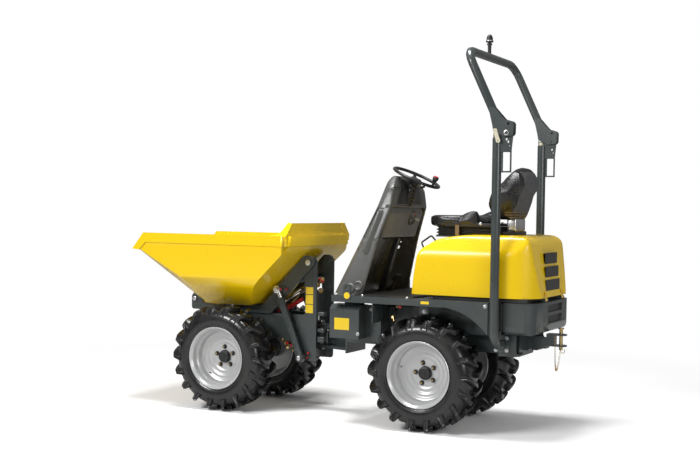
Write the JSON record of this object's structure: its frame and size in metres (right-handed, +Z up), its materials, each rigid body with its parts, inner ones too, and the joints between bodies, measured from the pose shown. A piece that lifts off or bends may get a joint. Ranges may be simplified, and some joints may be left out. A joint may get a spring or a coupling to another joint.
{
  "type": "articulated site dumper",
  "caption": "Small articulated site dumper: high-tip skip on cranked lift arms, cab-less driver's place with folding roll bar, lugged tyres.",
  "frame": {"origin": "on the ground under the middle of the machine's length and width, skip lowered and steering straight", "axes": "+X forward to the skip's lip, +Y to the driver's left, +Z up"},
  "size_m": [3.146, 0.998, 2.6389],
  "materials": {
    "rim_paint": "silver-white paint",
    "tyre_rubber": "black rubber with traction lugs",
    "axle_iron": "painted casting",
    "grey_paint": "dark green-grey powder coat",
    "machine_steel": "hard chrome",
    "cylinder_paint": "dark grey paint",
    "pin_zinc": "yellow zinc plate",
    "engine_paint": "dark casting",
    "yellow_paint": "gloss yellow paint",
    "black_plastic": "moulded black",
    "console_plastic": "dark grey grained moulding",
    "seat_vinyl": "black seat vinyl"
  },
  "bodies": {
    "rear": {"rear_frame": "grey_paint", "steering_pin": "machine_steel", "deck": "grey_paint", "mudguards": "grey_paint", "side_box_left": "grey_paint", "side_box_right": "grey_paint", "engine_block": "engine_paint", "rear_ballast": "grey_paint", "tow_hitch": "grey_paint", "tow_pin": "pin_zinc", "rops_posts": "grey_paint", "dash_console": "console_plastic", "knee_bolster": "console_plastic", "console_pillar": "black_plastic", "steering_column": "black_plastic", "pedals": "black_plastic", "rear_axle": "axle_iron"},
    "hood": {"hood": "yellow_paint", "hood_handle": "black_plastic", "seat_base": "black_plastic", "seat_cushion": "seat_vinyl", "seat_back": "seat_vinyl"},
    "roll_hoop": {"rops_hoop": "grey_paint", "beacon": "black_plastic"},
    "steering_wheel": {"steering_wheel": "black_plastic"},
    "front": {"front_frame": "grey_paint", "front_axle": "axle_iron"},
    "lift_arms": {"lift_arms": "grey_paint", "arm_pipes": "machine_steel"},
    "skip": {"skip": "yellow_paint"},
    "lift_barrels": {"lift_barrels": "cylinder_paint"},
    "lift_rods": {"lift_rods": "machine_steel"},
    "tip_rod": {"tip_rod": "machine_steel"},
    "tip_barrel": {"tip_barrel": "cylinder_paint"},
    "steer_barrel": {"steer_barrel": "cylinder_paint"},
    "steer_rod": {"steer_rod": "machine_steel"},
    "wheel_front_left": {"rim_front_left": "rim_paint", "tyre_front_left": "tyre_rubber"},
    "wheel_front_right": {"rim_front_right": "rim_paint", "tyre_front_right": "tyre_rubber"},
    "wheel_rear_left": {"rim_rear_left": "rim_paint", "tyre_rear_left": "tyre_rubber"},
    "wheel_rear_right": {"rim_rear_right": "rim_paint", "tyre_rear_right": "tyre_rubber"}
  },
  "joints": [
    {"name": "steer", "type": "hinge", "parent": "rear", "child": "front", "pos_m": [0.243, 0, 0.55], "axis": [0, 0, 1], "range_deg": [-33, 33]},
    {"name": "lift", "type": "hinge", "parent": "front", "child": "lift_arms", "pos_m": [0.277, 0, 1.069], "axis": [0, -1, 0], "range_deg": [0, 50]},
    {"name": "skip_tip", "type": "hinge", "parent": "lift_arms", "child": "skip", "pos_m": [1.238, 0, 0.768], "axis": [0, 1, 0], "range_deg": [0, 85]},
    {"name": "lift_cylinder_swing", "type": "hinge", "parent": "front", "child": "lift_barrels", "pos_m": [0.315, 0, 0.387], "axis": [0, -1, 0], "range_deg": [-1, 4]},
    {"name": "lift_rod_slide", "type": "slide", "parent": "lift_barrels", "child": "lift_rods", "axis": [0.3734, 0, 0.9277], "range_m": [-0.005, 0.27]},
    {"name": "tip_rod_swing", "type": "hinge", "parent": "lift_arms", "child": "tip_rod", "pos_m": [0.333, 0, 0.89], "axis": [0, -1, 0], "range_deg": [-1, 16]},
    {"name": "tip_barrel_slide", "type": "slide", "parent": "tip_rod", "child": "tip_barrel", "axis": [-0.9064, 0, 0.4223], "range_m": [-0.005, 0.35]},
    {"name": "steer_cylinder_swing", "type": "hinge", "parent": "rear", "child": "steer_barrel", "pos_m": [-0.167, -0.185, 0.55], "axis": [0, 0, 1], "range_deg": [-3, 3]},
    {"name": "steer_rod_slide", "type": "slide", "parent": "steer_barrel", "child": "steer_rod", "axis": [0.9997, -0.0235, 0], "range_m": [-0.115, 0.115]},
    {"name": "hood_lid", "type": "hinge", "parent": "rear", "child": "hood", "pos_m": [-1.479, 0, 0.889], "axis": [0, -1, 0], "range_deg": [0, 50]},
    {"name": "roll_bar_fold", "type": "hinge", "parent": "rear", "child": "roll_hoop", "pos_m": [-1.304, 0, 1.949], "axis": [0, 1, 0], "range_deg": [-135, 0]},
    {"name": "steering_wheel_spin", "type": "hinge", "parent": "rear", "child": "steering_wheel", "pos_m": [-0.485, 0, 1.68], "axis": [-0.4067, 0, 0.9135], "continuous": true},
    {"name": "wheel_front_left_spin", "type": "hinge", "parent": "front", "child": "wheel_front_left", "pos_m": [0.838, 0.363, 0.38], "axis": [0, 1, 0], "continuous": true},
    {"name": "wheel_front_right_spin", "type": "hinge", "parent": "front", "child": "wheel_front_right", "pos_m": [0.838, -0.363, 0.38], "axis": [0, 1, 0], "continuous": true},
    {"name": "wheel_rear_left_spin", "type": "hinge", "parent": "rear", "child": "wheel_rear_left", "pos_m": [-0.727, 0.363, 0.38], "axis": [0, 1, 0], "continuous": true},
    {"name": "wheel_rear_right_spin", "type": "hinge", "parent": "rear", "child": "wheel_rear_right", "pos_m": [-0.727, -0.363, 0.38], "axis": [0, 1, 0], "continuous": true}
  ],
  "couplings": [
    {"joint": "lift_cylinder_swing", "follows": "lift", "ratio": 0.04096},
    {"joint": "lift_rod_slide", "follows": "lift", "m_per_rad": 0.29554},
    {"joint": "tip_rod_swing", "follows": "skip_tip", "ratio": 0.16188},
    {"joint": "tip_barrel_slide", "follows": "skip_tip", "m_per_rad": 0.23114},
    {"joint": "steer_cylinder_swing", "follows": "steer", "ratio": 0.04382},
    {"joint": "steer_rod_slide", "follows": "steer", "m_per_rad": 0.18487}
  ]
}
